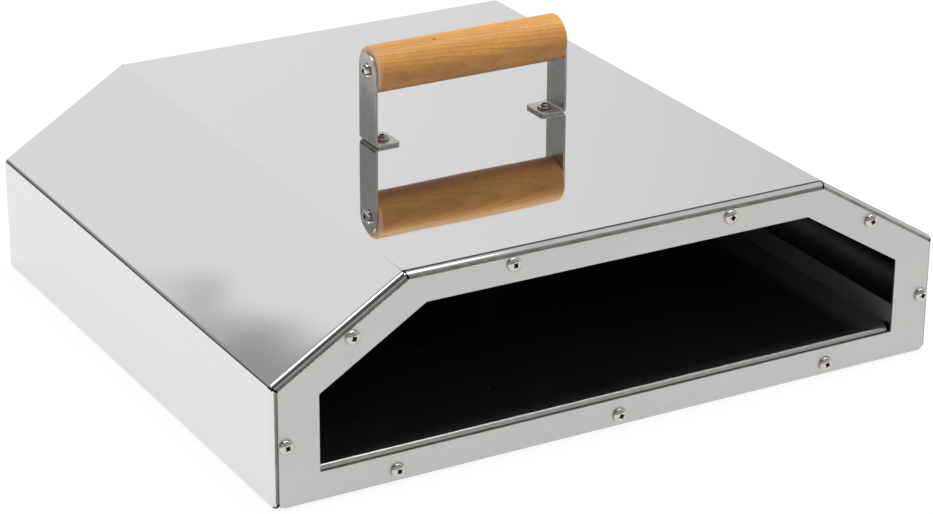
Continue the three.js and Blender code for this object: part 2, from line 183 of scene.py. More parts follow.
def rounded(corners, radii, steps=bend_steps):
    """Points of a closed outline with every corner rounded by its own radius"""
    points = []
    for index, corner in enumerate(corners):
        back = (corners[index - 1] - corner).normalized()
        ahead = (corners[(index + 1) % len(corners)] - corner).normalized()
        half_angle = back.angle(ahead) / 2
        centre = corner + (back + ahead).normalized() * radii[index] / math.sin(half_angle)
        start = corner + back * radii[index] / math.tan(half_angle) - centre
        turn = math.copysign(math.pi - 2 * half_angle, back.x * ahead.y - back.y * ahead.x)
        for step in range(steps + 1):
            points.append(centre + Matrix.Rotation(-turn * step / steps, 2) @ start)
    return points


def new_object(name, data):
    """An object in the scene"""
    made = bpy.data.objects.new(name, data)
    bpy.context.scene.collection.objects.link(made)
    return made


def new_piece(name, bm, *materials):
    """A mesh object from finished mesh data"""
    mesh = bpy.data.meshes.new(name)
    bm.normal_update()
    bmesh.ops.recalc_face_normals(bm, faces=bm.faces)
    bm.to_mesh(mesh)
    bm.free()
    for material in materials:
        mesh.materials.append(material)
    return new_object(name, mesh)


def apply_modifiers(piece):
    """Turn a piece's modifiers into plain mesh"""
    bpy.context.view_layer.update()
    graph = bpy.context.evaluated_depsgraph_get()
    finished = bpy.data.meshes.new_from_object(
        piece.evaluated_get(graph), preserve_all_data_layers=True, depsgraph=graph)
    piece.modifiers.clear()
    piece.data = finished


def combine(piece, tool, operation, keep_tool=False):
    """Cut a piece with a tool, or join the two, as closed solids"""
    joint = piece.modifiers.new("cut", "BOOLEAN")
    joint.operation = operation
    joint.solver = "EXACT"
    joint.object = tool
    apply_modifiers(piece)
    if not keep_tool:
        bpy.data.objects.remove(tool)


def smooth(piece, sharp_angle=math.radians(32), edge_radius=0.0):
    """Soften cut edges, and shade bends round and walls flat"""
    if edge_radius > 0:
        soft = piece.modifiers.new("soft edges", "BEVEL")
        soft.width = edge_radius
        soft.segments = 2
        soft.limit_method = "ANGLE"
        soft.angle_limit = sharp_angle
        apply_modifiers(piece)
    piece.data.shade_smooth()
    piece.data.set_sharp_from_angle(angle=sharp_angle)
    even = piece.modifiers.new("even walls", "WEIGHTED_NORMAL")
    even.keep_sharp = True
    even.weight = 100
    apply_modifiers(piece)


def join_rings(bm, ring, after):
    """Add faces between two closed rings of points"""
    for index in range(len(ring)):
        bm.faces.new([ring[index - 1], ring[index], after[index], after[index - 1]])


def prism(bm, points, axis, low, high):
    """Add an extruded outline to mesh data. It is drawn in x and z for a prism along y, and so on."""
    order = {"x": (2, 0, 1), "y": (0, 2, 1), "z": (0, 1, 2)}[axis]
    ends = []
    for along in (low, high):
        places = [(point[0], point[1], along) for point in points]
        ends.append([bm.verts.new([place[i] for i in order]) for place in places])
    bm.faces.new(ends[0])
    bm.faces.new(ends[1])
    join_rings(bm, *ends)


def circle(x, z, radius, sides=24):
    """Points of a circle"""
    turns = [2 * math.pi * side / sides for side in range(sides)]
    return [(x + radius * math.cos(turn), z + radius * math.sin(turn)) for turn in turns]


def rim_places():
    """Places of the nine screws round each end, by the last part of their names"""
    low, middle, high = section_corners(rim_inset, rim_inset, rim_inset, rim_inset)[:3]
    right = {
        "bottom_right": (half_width * bottom_screw_share, low.y),
        "side_right": (low.x, side_height * side_screw_share),
        "slope_right": tuple(middle.lerp(high, slope_screw_share)),
        "roof_right": (roof_half * roof_screw_share, high.y),
    }
    places = {"bottom_middle": (0.0, low.y)}
    for name, (x, z) in right.items():
        places[name] = (x, z)
        places[name.replace("right", "left")] = (-x, z)
    return places


def bent_body():
    """The closed sheet with rolled ends and flanges, as rings round the cross-section"""
    half_loop = []
    for layer in (sheet, 0):
        skin = [(flange_width, layer - half_depth)]
        for step in range(bend_steps + 1):
            angle = math.pi / 2 * step / bend_steps
            inset = layer + (roll_drop - layer) * (1 - math.sin(angle))
            skin.append((inset, layer - half_depth + (roll_depth - layer) * (1 - math.cos(angle))))
        half_loop += skin[::-1] if layer else skin
    loop = half_loop + [(inset, -y) for inset, y in reversed(half_loop)]
    bm = bmesh.new()
    rings = []
    for inset, y in loop:
        corners = section_corners(inset, inset, inset, inset)
        radius = max(bend_radius - inset, least_bend_radius)
        points = rounded(corners, [radius] * len(corners))
        rings.append([bm.verts.new((point.x, y, point.y)) for point in points])
    for ring, after in zip(rings, rings[1:] + rings[:1]):
        join_rings(bm, ring, after)
    return bm


def body_cuts(foot_places):
    """Mitre slits at every bend of both ends, screw holes and the heat opening"""
    bm = bmesh.new()
    outer = section_corners(0, 0, 0, 0)
    inner = section_corners(flange_width, flange_width, flange_width, flange_width)
    for corner, deep in zip(outer, inner):
        along = (deep - corner).normalized()
        across = Vector((-along.y, along.x)) / 2
        tip = corner - along * overrun
        root = deep + along * overrun
        slit = [tip - across * slit_tip_width, root - across * slit_root_width,
                root + across * slit_root_width, tip + across * slit_tip_width]
        prism(bm, slit, "y", -half_depth - overrun, slit_depth - half_depth)
        prism(bm, slit, "y", half_depth - slit_depth, half_depth + overrun)
    for x, z in rim_places().values():
        prism(bm, circle(x, z, hole_radius), "y", -half_depth - overrun, overrun - half_depth)
        prism(bm, circle(x, z, hole_radius), "y", half_depth - overrun, half_depth + overrun)
    for x, y in foot_places:
        prism(bm, circle(x, y, hole_radius), "z", body_height - overrun, body_height + overrun)
    vent_x = half_width - vent_side_rim
    vent_y = half_depth - vent_end_rim
    vent = [Vector((x * vent_x, y * vent_y)) for x, y in ((1, -1), (1, 1), (-1, 1), (-1, -1))]
    prism(bm, rounded(vent, [vent_corner_radius] * len(vent)), "z", -overrun, overrun)
    return bm


def base_zone():
    """Space that the base frame takes, between the corner bends and the mitre slits"""
    slit_end = half_depth - slit_depth
    flat_half = half_width - bend_radius
    low_half = half_width + overrun
    high_half = half_width - flange_width - overrun
    flat = [(-flat_half, -overrun), (flat_half, -overrun),
            (flat_half, flange_width), (-flat_half, flange_width)]
    mitred = [(-low_half, -overrun), (low_half, -overrun),
              (high_half, flange_width + overrun), (-high_half, flange_width + overrun)]
    shared = 0.01 * mm
    solids = []
    for points, low, high in ((flat, -slit_end, slit_end), (mitred, -half_depth - overrun, -slit_end),
                              (mitred, slit_end, half_depth + overrun)):
        bm = bmesh.new()
        prism(bm, points, "y", low - shared, high + shared)
        solids.append(new_piece("zone", bm))
    for solid in solids[1:]:
        combine(solids[0], solid, "UNION")
    return solids[0]


def paint_interior_shade(piece, slot=1):
    """Give the painted shade of the inside to every face that looks into the oven"""
    for face in piece.data.polygons:
        x, y, z = face.center
        slope_inset = ((half_width - abs(x)) * slope_rise - (z - side_height) * slope_run) / slope_length
        inset = min(half_width - abs(x), body_height - z, z, slope_inset)
        deep = 0.9 * sheet
        if inset > deep and abs(y) < half_depth - deep:
            face.material_index = slot


def paint_joint_shade(piece, slot=2):
    """Give the painted joint shade to the flanges and the last bit of the rolled ends"""
    for face in piece.data.polygons:
        if abs(face.center.y) > half_depth - joint_shade_width:
            face.material_index = slot


polished = new_material(mirror_polished_stainless)
interior_shade = new_material(painted_shade_interior)
foot_low, foot_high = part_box("foot_screw_right")
foot_x = (foot_low.x + foot_high.x) / 2
handle_y = (foot_low.y + foot_high.y) / 2
foot_places = [(foot_x, handle_y), (-foot_x, handle_y)]

cover = new_piece("cover", bent_body(), polished, interior_shade, new_material(painted_joint_shade))
combine(cover, new_piece("cuts", body_cuts(foot_places)), "DIFFERENCE")
zone = base_zone()
base = new_object("base_frame_sheet", cover.data.copy())
combine(cover, zone, "DIFFERENCE", keep_tool=True)
paint_interior_shade(cover)
paint_joint_shade(cover)
smooth(cover)
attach(cover, "root")
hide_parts("outer_shell")

# Base frame: a flat sheet under the cover, cut open for the heat, with a flange at both ends.
# It is the same stainless sheet, satin below, and coloured near black as painted shade where it faces the
# inside.


def satin_brushed_stainless(tree, place):
    """Stainless sheet with a fine satin brushing along x. The eye sees a soft, even grey sheen
    with short streaks, and no image in it. Streaks are drawn at 0.3 mm so that they show."""
    streak_space = add_node(tree, "ShaderNodeMapping", {"Vector": place, "Scale": (60.0, 1800.0, 1800.0)})
    streak = add_node(
        tree, "ShaderNodeTexNoise", {"Vector": (streak_space, "Vector"), "Scale": 1.0, "Detail": 4.0})
    cloud = add_node(tree, "ShaderNodeTexNoise", {"Vector": place, "Scale": 14.0})
    tint = add_node(
        tree, "ShaderNodeValToRGB", {"Fac": (cloud, "Fac")}, stops=((0.0, "#C0BFBD"), (1.0, "#C7C6C4")))
    gloss = add_node(
        tree, "ShaderNodeMapRange",
        {"Value": (streak, "Fac"), "From Min": 0.3, "From Max": 0.7, "To Min": 0.36, "To Max": 0.48})
    grain = add_node(
        tree, "ShaderNodeBump", {"Height": (streak, "Fac"), "Strength": 0.3, "Distance": 0.00001})
    steel = add_node(
        tree, "ShaderNodeBsdfPrincipled",
        {"Base Color": (tint, "Color"), "Metallic": 1.0, "Roughness": (gloss, "Result"),
         "Normal": (grain, "Normal")})
    return steel, "BSDF"


satin = new_material(satin_brushed_stainless)
combine(base, zone, "INTERSECT")
base.data.materials.clear()
base.data.materials.append(satin)
base.data.materials.append(interior_shade)
paint_interior_shade(base)
smooth(base)
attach(base, "root")
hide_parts("base_frame")

# Front frame and back panel: plates cut from 1.2 mm satin stainless sheet, with deburred edges.
# Nine screws clamp each to the folded flanges. The back one is coloured near black on its inner face, as
# painted shade.
plate_thickness = 1.2 * mm
plate_edge = 0.2 * mm
weld_reach = 0.001 * mm
inward_normal = -0.9
plate_corners = section_corners(3.2 * mm, 3.2 * mm, 3.2 * mm, 1.3 * mm)
plate_radii = [3.5 * mm, 1.5 * mm, 1.5 * mm, 1.5 * mm, 1.5 * mm, 3.5 * mm]
mouth_corners = section_corners(25.7 * mm, 20.2 * mm, 17.2 * mm, 16.5 * mm)
mouth_radius = 1 * mm


def cut_plate(name, outlines, thickness, edge_radius):
    """A flat plate cut from sheet: an outline and its holes, filled and given rounded edges.
    It lies in x and y, with its middle at z = 0."""
    curve = bpy.data.curves.new(name, "CURVE")
    curve.dimensions = "2D"
    curve.fill_mode = "BOTH"
    curve.extrude = thickness / 2 - edge_radius
    curve.bevel_depth = edge_radius
    curve.offset = -edge_radius
    curve.bevel_resolution = 2
    for outline in outlines:
        spline = curve.splines.new("POLY")
        spline.points.add(len(outline) - 1)
        for point, place in zip(spline.points, outline):
            point.co = (place[0], place[1], 0, 1)
        spline.use_cyclic_u = True
    blank = new_object(name, curve)
    bpy.context.view_layer.update()
    graph = bpy.context.evaluated_depsgraph_get()
    mesh = bpy.data.meshes.new_from_object(blank.evaluated_get(graph), depsgraph=graph)
    bpy.data.objects.remove(blank)
    bm = bmesh.new()
    bm.from_mesh(mesh)
    bmesh.ops.remove_doubles(bm, verts=bm.verts, dist=weld_reach)
    return bm


def stand_plate(bm, middle_y):
    """Turn a flat plate up so that it stands across the oven, with its middle at one depth"""
    for vert in bm.verts:
        vert.co = (vert.co.x, middle_y - vert.co.z, vert.co.y)


plate_outline = rounded(plate_corners, plate_radii)
screw_holes = [circle(x, z, hole_radius) for x, z in rim_places().values()]
mouth_outline = rounded(mouth_corners, [mouth_radius] * len(mouth_corners))
for end, name, node, openings, finishes in (
        (-1, "front_plate", "front_frame", [mouth_outline], [satin]),
        (1, "back_plate", "back_panel", [], [satin, interior_shade])):
    plate_bm = cut_plate(name, [plate_outline] + openings + screw_holes, plate_thickness, plate_edge)
    stand_plate(plate_bm, end * (half_depth + plate_thickness / 2))
    plate = new_piece(name, plate_bm, *finishes)
    # The inner face of the back plate gets the painted shade of the inside.
    for face in plate.data.polygons:
        if end > 0 and face.normal.y < inward_normal:
            face.material_index = finishes.index(interior_shade)
    smooth(plate)
    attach(plate, "root")
    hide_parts(node)

# Floor tray: 1 mm sheet over the heat opening. Its two ends roll down behind the flanges and its
# sides turn up as low walls, which reach the plates past a notch beside the lips. It is bright rolled
# steel, but has only the dark oven to mirror, so it looks black except on the front lip.


def bright_rolled_steel(tree, place):
    """Cold-rolled stainless sheet: a soft mirror with faint clouds from heat, and a few dust specks.
    The low walls are scuffed by stones that slid past, so they scatter a little more light."""
    cloud = add_node(tree, "ShaderNodeTexNoise", {"Vector": place, "Scale": 17.0, "Detail": 4.0})
    gloss = add_node(tree, "ShaderNodeMapRange", {"Value": (cloud, "Fac"), "To Min": 0.16, "To Max": 0.28})
    heat = add_node(
        tree, "ShaderNodeValToRGB", {"Fac": (cloud, "Fac")}, stops=((0.35, "#C2C2C1"), (0.7, "#C9C8C3")))
    shape = add_node(tree, "ShaderNodeNewGeometry")
    facing = add_node(tree, "ShaderNodeSeparateXYZ", {"Vector": (shape, "Normal")})
    sideways = add_node(tree, "ShaderNodeMath", {0: (facing, "X")}, operation="ABSOLUTE")
    clean = add_node(
        tree, "ShaderNodeMapRange", {"Value": (sideways, "Value"), "To Min": 0.95, "To Max": 0.72})
    dust = add_node(tree, "ShaderNodeTexVoronoi", {"Vector": place, "Scale": 60.0})
    speck = add_node(
        tree, "ShaderNodeMapRange",
        {"Value": (dust, "Distance"), "From Min": 0.02, "From Max": 0.035, "To Min": 1.0, "To Max": 0.0})
    steel = add_node(
        tree, "ShaderNodeBsdfPrincipled",
        {"Base Color": (heat, "Color"), "Metallic": (clean, "Result"), "Roughness": (gloss, "Result")})
    grain = add_node(tree, "ShaderNodeBsdfDiffuse", {"Color": linear("#8C8A84")})
    dusty = add_node(
        tree, "ShaderNodeMixShader", {0: (speck, "Result"), 1: (steel, "BSDF"), 2: (grain, "BSDF")})
    return dusty, "Shader"


def bent_strip(line, inside_radius):
    """The outline of a bent 1 mm sheet, from the line along its middle"""
    left = []
    right = []
    for index, point in enumerate(line):
        after = line[min(index + 1, len(line) - 1)]
        back = (line[max(index, 1)] - line[max(index - 1, 0)]).normalized()
        ahead = (after - point).normalized() if index < len(line) - 1 else back
        turn = math.atan2(back.x * ahead.y - back.y * ahead.x, back.dot(ahead))
        middle_radius = inside_radius + sheet / 2
        run = middle_radius * math.tan(abs(turn) / 2)
        side = Vector((-back.y, back.x)) * (math.copysign(1, turn) if turn else 1)
        centre = point - back * run + side * middle_radius
        steps = bend_steps if turn else 0
        for step in range(steps + 1):
            out = Matrix.Rotation(turn * step / steps if steps else 0, 2) @ -side
            outer = centre + out * (middle_radius + sheet / 2)
            inner = centre + out * (middle_radius - sheet / 2)
            left.append(outer if turn < 0 else inner)
            right.append(inner if turn < 0 else outer)
    return right + left[::-1]


tray_low, tray_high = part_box("floor_tray")
tray_top = 19 * mm
lip_bend = 2 * mm
lip_side_gap = 1.6 * mm
wall_bend = 1.8 * mm
wall_end_gap = 0.4 * mm
floor_end_gap = 4.6 * mm
tray_steel = new_material(bright_rolled_steel)
apron = half_depth - sheet * 1.5
wall_x = tray_high.x - sheet / 2
floor_middle = tray_top - sheet / 2
lip_half = wall_x - sheet / 2 - lip_side_gap
ends_line = [(-apron, tray_low.z), (-apron, floor_middle), (apron, floor_middle), (apron, tray_low.z)]
tray_bm = bmesh.new()
prism(tray_bm, bent_strip([Vector(point) for point in ends_line], lip_bend), "x", -lip_half, lip_half)
tray = new_piece("tray", tray_bm, tray_steel)
walls_line = [
    (-wall_x, tray_high.z), (-wall_x, floor_middle), (wall_x, floor_middle), (wall_x, tray_high.z)]
wall_end = half_depth - wall_end_gap
floor_end = half_depth - sheet - floor_end_gap
walls_bm = bmesh.new()
prism(walls_bm, bent_strip([Vector(point) for point in walls_line], wall_bend), "y", -wall_end, wall_end)
walls = new_piece("walls", walls_bm)
notch_top = tray_top + wall_bend
notch = [(-half_width, -overrun), (half_width, -overrun), (half_width, notch_top), (-half_width, notch_top)]
notch_bm = bmesh.new()
prism(notch_bm, notch, "y", -half_depth - overrun, -floor_end)
prism(notch_bm, notch, "y", floor_end, half_depth + overrun)
combine(walls, new_piece("notches", notch_bm), "DIFFERENCE")
combine(tray, walls, "UNION")
bores_bm = bmesh.new()
for name, (x, z) in rim_places().items():
    if name.startswith("bottom"):
        prism(bores_bm, circle(x, z, hole_radius), "y", -half_depth - overrun, half_depth + overrun)
combine(tray, new_piece("bores", bores_bm), "DIFFERENCE")
smooth(tray)
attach(tray, "root")
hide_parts("floor_tray")

# Handle brackets: straps cut from 1.5 mm stainless strip with a round top, drilled, then bent
# inwards at the foot. They are tumbled, not polished, so they look duller than the roof.
strap_thickness = 1.5 * mm
strap_half = 9.5 * mm
strap_edge = 0.25 * mm
strap_bend = 1 * mm
foot_radius = 2.5 * mm
handle_low, handle_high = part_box("handle_bracket_right")
grip_low, grip_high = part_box("handle_grip")
grip_axis = (grip_low.z + grip_high.z) / 2


def tumbled_strip_steel(tree, place):
    """Stainless strip, tumbled after cutting: a dull warm grey with faint cloudy scuffs"""
    scuff = add_node(tree, "ShaderNodeTexNoise", {"Vector": place, "Scale": 190.0, "Detail": 5.0})
    tint = add_node(
        tree, "ShaderNodeValToRGB", {"Fac": (scuff, "Fac")}, stops=((0.3, "#BFBEBB"), (0.75, "#CDCBC6")))
    gloss = add_node(tree, "ShaderNodeMapRange", {"Value": (scuff, "Fac"), "To Min": 0.2, "To Max": 0.38})
    pits = add_node(
        tree, "ShaderNodeBump", {"Height": (scuff, "Fac"), "Strength": 0.08, "Distance": 0.00002})
    steel = add_node(
        tree, "ShaderNodeBsdfPrincipled",
        {"Base Color": (tint, "Color"), "Metallic": 1.0, "Roughness": (gloss, "Result"),
         "Normal": (pits, "Normal")})
    return steel, "BSDF"


def flat_strap(foot_hole, grip_hole, length):
    """The strap before bending, along y from the tip of its foot at 0 to its round top"""
    steps = 24
    outline = []
    corner_x = strap_half - foot_radius
    for centre_x, start in ((-corner_x, math.pi), (corner_x, 1.5 * math.pi)):
        for step in range(bend_steps + 1):
            angle = start + math.pi / 2 * step / bend_steps
            outline.append((centre_x + foot_radius * math.cos(angle), foot_radius * (1 + math.sin(angle))))
    for step in range(steps + 1):
        angle = math.pi * step / steps
        outline.append((strap_half * math.cos(angle), length - strap_half + strap_half * math.sin(angle)))
    holes = [circle(0, foot_hole, hole_radius), circle(0, grip_hole, hole_radius)]
    return cut_plate("strap", [outline] + holes, strap_thickness, strap_edge)


def bend_strap(bm, outer_x, tip_x):
    """Bend the flat strap up at its foot and set it on the roof"""
    middle_radius = strap_bend + strap_thickness / 2
    bend_start = outer_x - strap_thickness - strap_bend - tip_x
    bend_length = middle_radius * math.pi / 2
    for step in range(bend_steps + 1):
        cut_at = Vector((0, bend_start + bend_length * step / bend_steps, 0))
        faces = bm.verts[:] + bm.edges[:] + bm.faces[:]
        bmesh.ops.bisect_plane(bm, geom=faces, plane_co=cut_at, plane_no=(0, 1, 0))
    centre = Vector((tip_x + bend_start, body_height + strap_thickness / 2 + middle_radius))
    for vert in bm.verts:
        across, along, through = vert.co
        if along <= bend_start:
            place = Vector((tip_x + along, body_height + strap_thickness / 2 - through))
        elif along <= bend_start + bend_length:
            angle = (along - bend_start) / middle_radius
            radius = middle_radius + through
            place = centre + Vector((radius * math.sin(angle), -radius * math.cos(angle)))
        else:
            rise = along - bend_start - bend_length
            place = centre + Vector((middle_radius + through, rise))
        vert.co = (place.x, handle_y + across, place.y)


dull_strap = new_material(tumbled_strip_steel)
bend_saving = 2 * (strap_bend + strap_thickness) - (strap_bend + strap_thickness / 2) * math.pi / 2
strap_length = (handle_high.x - handle_low.x) + (handle_high.z - body_height) - bend_saving
for side, name in ((1, "right"), (-1, "left")):
    strap_bm = flat_strap(foot_x - handle_low.x, strap_length - (handle_high.z - grip_axis), strap_length)
    bend_strap(strap_bm, handle_high.x, handle_low.x)
    if side < 0:
        for vert in strap_bm.verts:
            vert.co.x = -vert.co.x
    strap = new_piece("strap_" + name, strap_bm, dull_strap)
    smooth(strap)
    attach(strap, "root")
    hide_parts("handle_bracket_" + name)

# Handle grip: a turned beech dowel with eased ends, oiled. The wood is painted golden towards the
# top and darker below, as painted light and shade, with the short dark flecks that beech shows along its
# grain.
grip_radius = (grip_high.z - grip_low.z) / 2
grip_half = grip_high.x
grip_end_radius = 1.6 * mm


def oiled_beech(tree, place):
    """Steamed beech under oil. Growth rings run along the grip and close into long arches, because the
    log's heart lay aside and the dowel was cut a little askew. Between them are short ray flecks of
    2.5 x 0.3 mm and a few pin knots. The colour is painted golden towards the top and pinker and darker
    towards the underside, as painted light and shade. The end grain of the eased edges is paler."""
    log_space = add_node(
        tree, "ShaderNodeMapping",
        {"Vector": place, "Location": (0.0, 0.045, -0.147), "Rotation": (0.0, 0.1, 0.28),
         "Scale": (0.3, 1.0, 1.0)})
    ring = add_node(
        tree, "ShaderNodeTexWave",
        {"Vector": (log_space, "Vector"), "Scale": 150.0, "Distortion": 3.6, "Detail": 3.0,
         "Detail Scale": 1.1, "Detail Roughness": 0.55},
        wave_type="RINGS", rings_direction="X", wave_profile="SAW")
    spaces = []
    for stretch in ((9.0, 70.0, 70.0), (90.0, 1700.0, 1700.0), (220.0, 1300.0, 1300.0), (55.0, 75.0, 75.0)):
        space = add_node(tree, "ShaderNodeMapping", {"Vector": place, "Scale": stretch})
        spaces.append((space, "Vector"))
    drift = add_node(tree, "ShaderNodeTexNoise", {"Vector": spaces[0], "Scale": 1.0, "Detail": 3.0})
    fibre = add_node(tree, "ShaderNodeTexNoise", {"Vector": spaces[1], "Scale": 1.0})
    fleck = add_node(tree, "ShaderNodeTexVoronoi", {"Vector": spaces[2], "Scale": 1.0})
    knot = add_node(tree, "ShaderNodeTexVoronoi", {"Vector": spaces[3], "Scale": 1.0})
    drift_tone = add_node(
        tree, "ShaderNodeMapRange",
        {"Value": (drift, "Fac"), "From Min": 0.38, "From Max": 0.62, "To Max": 0.35})
    spot = add_node(tree, "ShaderNodeSeparateXYZ", {"Vector": place})
    # Painted light and shade: the colour runs from pink-brown at the underside to golden a little above the
    # axis.
    painted_light_by_height = add_node(
        tree, "ShaderNodeMapRange",
        {"Value": (spot, "Z"), "From Min": grip_axis - grip_radius,
         "From Max": grip_axis + 0.6 * grip_radius, "To Max": 0.65})
    drift_and_painted_light = add_node(
        tree, "ShaderNodeMath", {0: (drift_tone, "Result"), 1: (painted_light_by_height, "Result")}, operation="ADD")
    hue = add_node(
        tree, "ShaderNodeMix",
        {"Factor": (drift_and_painted_light, "Value"), 6: linear("#A06845"), 7: linear("#F6B352")}, data_type="RGBA")
    from_middle = add_node(tree, "ShaderNodeMath", {0: (spot, "X")}, operation="ABSOLUTE")
    end_start = grip_half - grip_end_radius
    end_full = grip_half - grip_end_radius / 4
    tints = (
        ((ring, "Fac"), 0.5, 1.0, 0.0, 0.45, "#B06C42"),
        ((fibre, "Fac"), 0.45, 0.75, 0.0, 0.3, "#C08550"),
        ((fleck, "Distance"), 0.12, 0.34, 0.5, 0.0, "#A56B3E"),
        ((knot, "Distance"), 0.045, 0.075, 0.75, 0.0, "#6E4022"),
        ((from_middle, "Value"), end_start, end_full, 0.0, 0.75, "#E6BC98"),
    )
    colour = hue
    for pattern, low, high, low_share, high_share, hex_colour in tints:
        share = add_node(
            tree, "ShaderNodeMapRange",
            {"Value": pattern, "From Min": low, "From Max": high, "To Min": low_share, "To Max": high_share})
        colour = add_node(
            tree, "ShaderNodeMix",
            {"Factor": (share, "Result"), 6: (colour, 2), 7: linear(hex_colour)}, data_type="RGBA")
    pores = add_node(
        tree, "ShaderNodeBump", {"Height": (fibre, "Fac"), "Strength": 0.25, "Distance": 0.00004})
    beech = add_node(
        tree, "ShaderNodeBsdfPrincipled",
        {"Base Color": (colour, 2), "Roughness": 0.5, "Normal": (pores, "Normal"),
         "Coat Weight": 0.05, "Coat Roughness": 0.35})
    return beech, "BSDF"


def turned_dowel(sides=96):
    """A dowel turned about x, its ends eased by a quarter round"""
    quarter = [math.pi / 2 * step / bend_steps for step in range(bend_steps + 1)]
    end = [(grip_half - grip_end_radius * (1 - math.sin(angle)),
            grip_radius - grip_end_radius * (1 - math.cos(angle))) for angle in quarter]
    profile = [(-x, radius) for x, radius in reversed(end)] + end
    bm = bmesh.new()
    rings = []
    for x, radius in profile:
        ring = []
        for side in range(sides):
            angle = 2 * math.pi * side / sides
            ring.append(bm.verts.new(
                (x, handle_y + radius * math.cos(angle), grip_axis + radius * math.sin(angle))))
        rings.append(ring)
    for ring, after in zip(rings, rings[1:]):
        join_rings(bm, ring, after)
    bm.faces.new(rings[0])
    bm.faces.new(rings[-1])
    return bm


grip = new_piece("grip", turned_dowel(), new_material(oiled_beech))
smooth(grip)
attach(grip, "root")
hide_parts("handle_grip")

# Fasteners: M4 machine screws with a pan head and a cross recess, hexagon nuts and washers.
# The screws are nickel-plated and tumbled bright, the nuts and washers are zinc-plated.
head_radius = 4 * mm
head_height = 2.56 * mm
head_edge = 0.12 * mm
head_sharp_angle = math.radians(28)


def bright_nickel(tree, place):
    """Nickel plate over steel: a bright, slightly warm mirror with fine handling marks"""
    marks = add_node(tree, "ShaderNodeTexNoise", {"Vector": place, "Scale": 900.0, "Detail": 3.0})
    gloss = add_node(tree, "ShaderNodeMapRange", {"Value": (marks, "Fac"), "To Min": 0.1, "To Max": 0.26})
    steel = add_node(
        tree, "ShaderNodeBsdfPrincipled",
        {"Base Color": linear("#C9C6BF"), "Metallic": 1.0, "Roughness": (gloss, "Result")})
    return steel, "BSDF"


def painted_recess_shade(tree, place):
    """Walls and bottom of a driver's recess, coloured dark as painted shade for the deep recess"""
    shade_mottle = add_node(tree, "ShaderNodeTexNoise", {"Vector": place, "Scale": 1500.0})
    tint = add_node(
        tree, "ShaderNodeValToRGB", {"Fac": (shade_mottle, "Fac")}, stops=((0.0, "#1F1E1C"), (1.0, "#4A4845")))
    steel = add_node(
        tree, "ShaderNodeBsdfPrincipled",
        {"Base Color": (tint, "Color"), "Metallic": 0.7, "Roughness": 0.5})
    return steel, "BSDF"


def zinc_plate(tree, place):
    """Zinc plate: bluish grey, semi-matt, with a fine crystalline mottle"""
    mottle = add_node(tree, "ShaderNodeTexVoronoi", {"Vector": place, "Scale": 1400.0})
    tint = add_node(
        tree, "ShaderNodeValToRGB", {"Fac": (mottle, "Distance")},
        stops=((0.0, "#A3A5A4"), (1.0, "#B4B6B4")))
    steel = add_node(
        tree, "ShaderNodeBsdfPrincipled",
        {"Base Color": (tint, "Color"), "Metallic": 1.0, "Roughness": 0.4})
    return steel, "BSDF"


def fastener_tree(name, sizes):
    """A node tree that sets one fastener at every point, aimed along the point's own direction"""
    tree = bpy.data.node_groups.new(name, "GeometryNodeTree")
    tree.interface.new_socket("Geometry", in_out="INPUT", socket_type="NodeSocketGeometry")
    for size_name, value in sizes.items():
        socket = tree.interface.new_socket(size_name, in_out="INPUT", socket_type="NodeSocketFloat")
        socket.default_value = value
    tree.interface.new_socket("Finish", in_out="INPUT", socket_type="NodeSocketMaterial")
    tree.interface.new_socket("Geometry", in_out="OUTPUT", socket_type="NodeSocketGeometry")
    return tree, add_node(tree, "NodeGroupInput"), add_node(tree, "NodeGroupOutput")


def place_fasteners(tree, source, output, shape, kept_finish=None):
    """Close a fastener's tree: copy the shape to the points, make it real and give it its finish,
    all but the faces of a finish that is kept"""
    aim = add_node(tree, "GeometryNodeInputNamedAttribute", {"Name": "aim"}, data_type="FLOAT_VECTOR")
    turn = add_node(tree, "GeometryNodeInputNamedAttribute", {"Name": "turn"}, data_type="FLOAT")
    facing = add_node(tree, "FunctionNodeAlignEulerToVector", {"Vector": (aim, "Attribute")}, axis="Z")
    spin = add_node(tree, "FunctionNodeRotateEuler", {
        "Rotation": (facing, "Rotation"), "Axis": (0.0, 0.0, 1.0), "Angle": (turn, "Attribute")},
        rotation_type="AXIS_ANGLE", space="LOCAL")
    copies = add_node(tree, "GeometryNodeInstanceOnPoints", {
        "Points": (source, "Geometry"), "Instance": shape, "Rotation": (spin, "Rotation")})
    real = add_node(tree, "GeometryNodeRealizeInstances", {"Geometry": (copies, "Instances")})
    finish = add_node(tree, "GeometryNodeSetMaterial", {
        "Geometry": (real, "Geometry"), "Material": (source, "Finish")})
    tree.links.new(finish.outputs["Geometry"], output.inputs["Geometry"])
    if kept_finish:
        kept = add_node(tree, "GeometryNodeMaterialSelection", {"Material": kept_finish})
        others = add_node(tree, "FunctionNodeBooleanMath", {0: (kept, "Selection")}, operation="NOT")
        tree.links.new(others.outputs["Boolean"], finish.inputs["Selection"])


def raised(tree, shape, height, **more):
    """A shape of a fastener's tree, moved up, and turned or stretched if need be"""
    lift = add_node(tree, "ShaderNodeCombineXYZ", {"Z": height})
    return add_node(tree, "GeometryNodeTransform", {
        "Geometry": (shape, "Mesh"), "Translation": (lift, "Vector"), **more})


